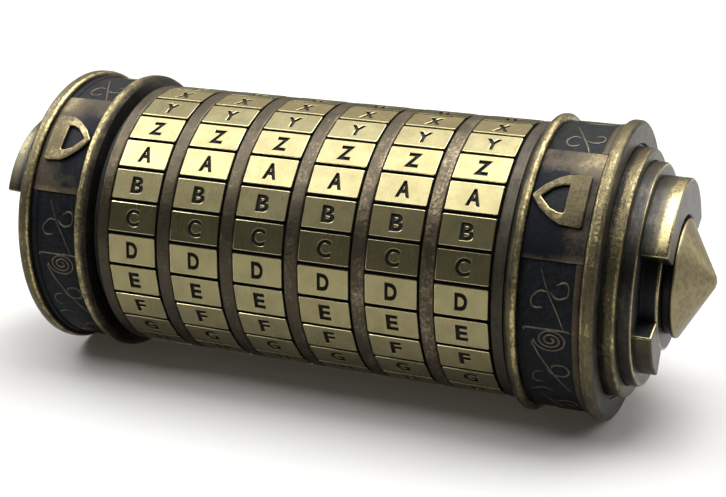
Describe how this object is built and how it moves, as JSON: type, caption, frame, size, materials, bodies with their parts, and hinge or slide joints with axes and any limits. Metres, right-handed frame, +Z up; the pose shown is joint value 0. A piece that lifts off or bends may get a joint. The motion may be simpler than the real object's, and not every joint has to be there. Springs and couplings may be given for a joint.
{
  "type": "combination puzzle cylinder",
  "caption": "Cryptex puzzle: lettered brass dials turn on a barrel between two flanged caps with cone tips, and a vault draws out of one end.",
  "frame": {"origin": "middle of the cryptex on its axis, half way between the two cone tips", "axes": "+X along the axis towards the end that the vault draws out of, +Z up with the cryptex lying on its flanges, -Y the front"},
  "size_m": [0.1308, 0.0502, 0.0502],
  "materials": {
    "letter_brass": "brushed flat tiles, worn bright at the edges, letters filled black",
    "antique_brass": "antiqued, dark in the hollows and rubbed bright on the rims",
    "brushed_brass": "antiqued and brushed",
    "dark_bronze": "dark satin antiqued bronze",
    "dark_enamel": "blackened, with relief lines rubbed lighter",
    "black_fibre": "matt black",
    "tube_brass": "turned, satin",
    "steel": "plain turned"
  },
  "bodies": {
    "casing": {"left_cap": "antique_brass", "left_scroll_band": "dark_enamel", "left_panels": "antique_brass", "left_crown": "antique_brass", "left_finial": "brushed_brass", "left_nut": "steel", "left_end_plate": "antique_brass", "barrel": "tube_brass", "barrel_flange": "tube_brass", "barrel_screws": "steel", "spacer_ring": "black_fibre", "end_collar": "dark_bronze", "collar_screws": "steel"},
    "dial_1": {"dial_1_body": "dark_bronze", "dial_1_letters": "letter_brass", "dial_1_code_ring": "steel"},
    "dial_2": {"dial_2_body": "dark_bronze", "dial_2_letters": "letter_brass", "dial_2_code_ring": "steel"},
    "dial_3": {"dial_3_body": "dark_bronze", "dial_3_letters": "letter_brass", "dial_3_code_ring": "steel"},
    "dial_4": {"dial_4_body": "dark_bronze", "dial_4_letters": "letter_brass", "dial_4_code_ring": "steel"},
    "dial_5": {"dial_5_body": "dark_bronze", "dial_5_letters": "letter_brass", "dial_5_code_ring": "steel"},
    "dial_6": {"dial_6_body": "dark_bronze", "dial_6_letters": "letter_brass", "dial_6_code_ring": "steel"},
    "vault": {"right_cap": "antique_brass", "right_scroll_band": "dark_enamel", "right_panels": "antique_brass", "right_crown": "antique_brass", "right_finial": "brushed_brass", "right_nut": "steel", "right_end_plate": "antique_brass", "vault_tube": "tube_brass", "vault_flange": "tube_brass", "vault_screws": "steel", "tooth_bar": "steel", "tooth_bar_screws": "steel"}
  },
  "joints": [
    {"name": "dial_1_turn", "type": "hinge", "parent": "casing", "child": "dial_1", "pos_m": [0, 0, 0], "axis": [1, 0, 0], "continuous": true},
    {"name": "dial_2_turn", "type": "hinge", "parent": "casing", "child": "dial_2", "pos_m": [0, 0, 0], "axis": [1, 0, 0], "continuous": true},
    {"name": "dial_3_turn", "type": "hinge", "parent": "casing", "child": "dial_3", "pos_m": [0, 0, 0], "axis": [1, 0, 0], "continuous": true},
    {"name": "dial_4_turn", "type": "hinge", "parent": "casing", "child": "dial_4", "pos_m": [0, 0, 0], "axis": [1, 0, 0], "continuous": true},
    {"name": "dial_5_turn", "type": "hinge", "parent": "casing", "child": "dial_5", "pos_m": [0, 0, 0], "axis": [1, 0, 0], "continuous": true},
    {"name": "dial_6_turn", "type": "hinge", "parent": "casing", "child": "dial_6", "pos_m": [0, 0, 0], "axis": [1, 0, 0], "continuous": true},
    {"name": "vault_slide", "type": "slide", "parent": "casing", "child": "vault", "axis": [1, 0, 0], "range_m": [0, 0.078]}
  ]
}
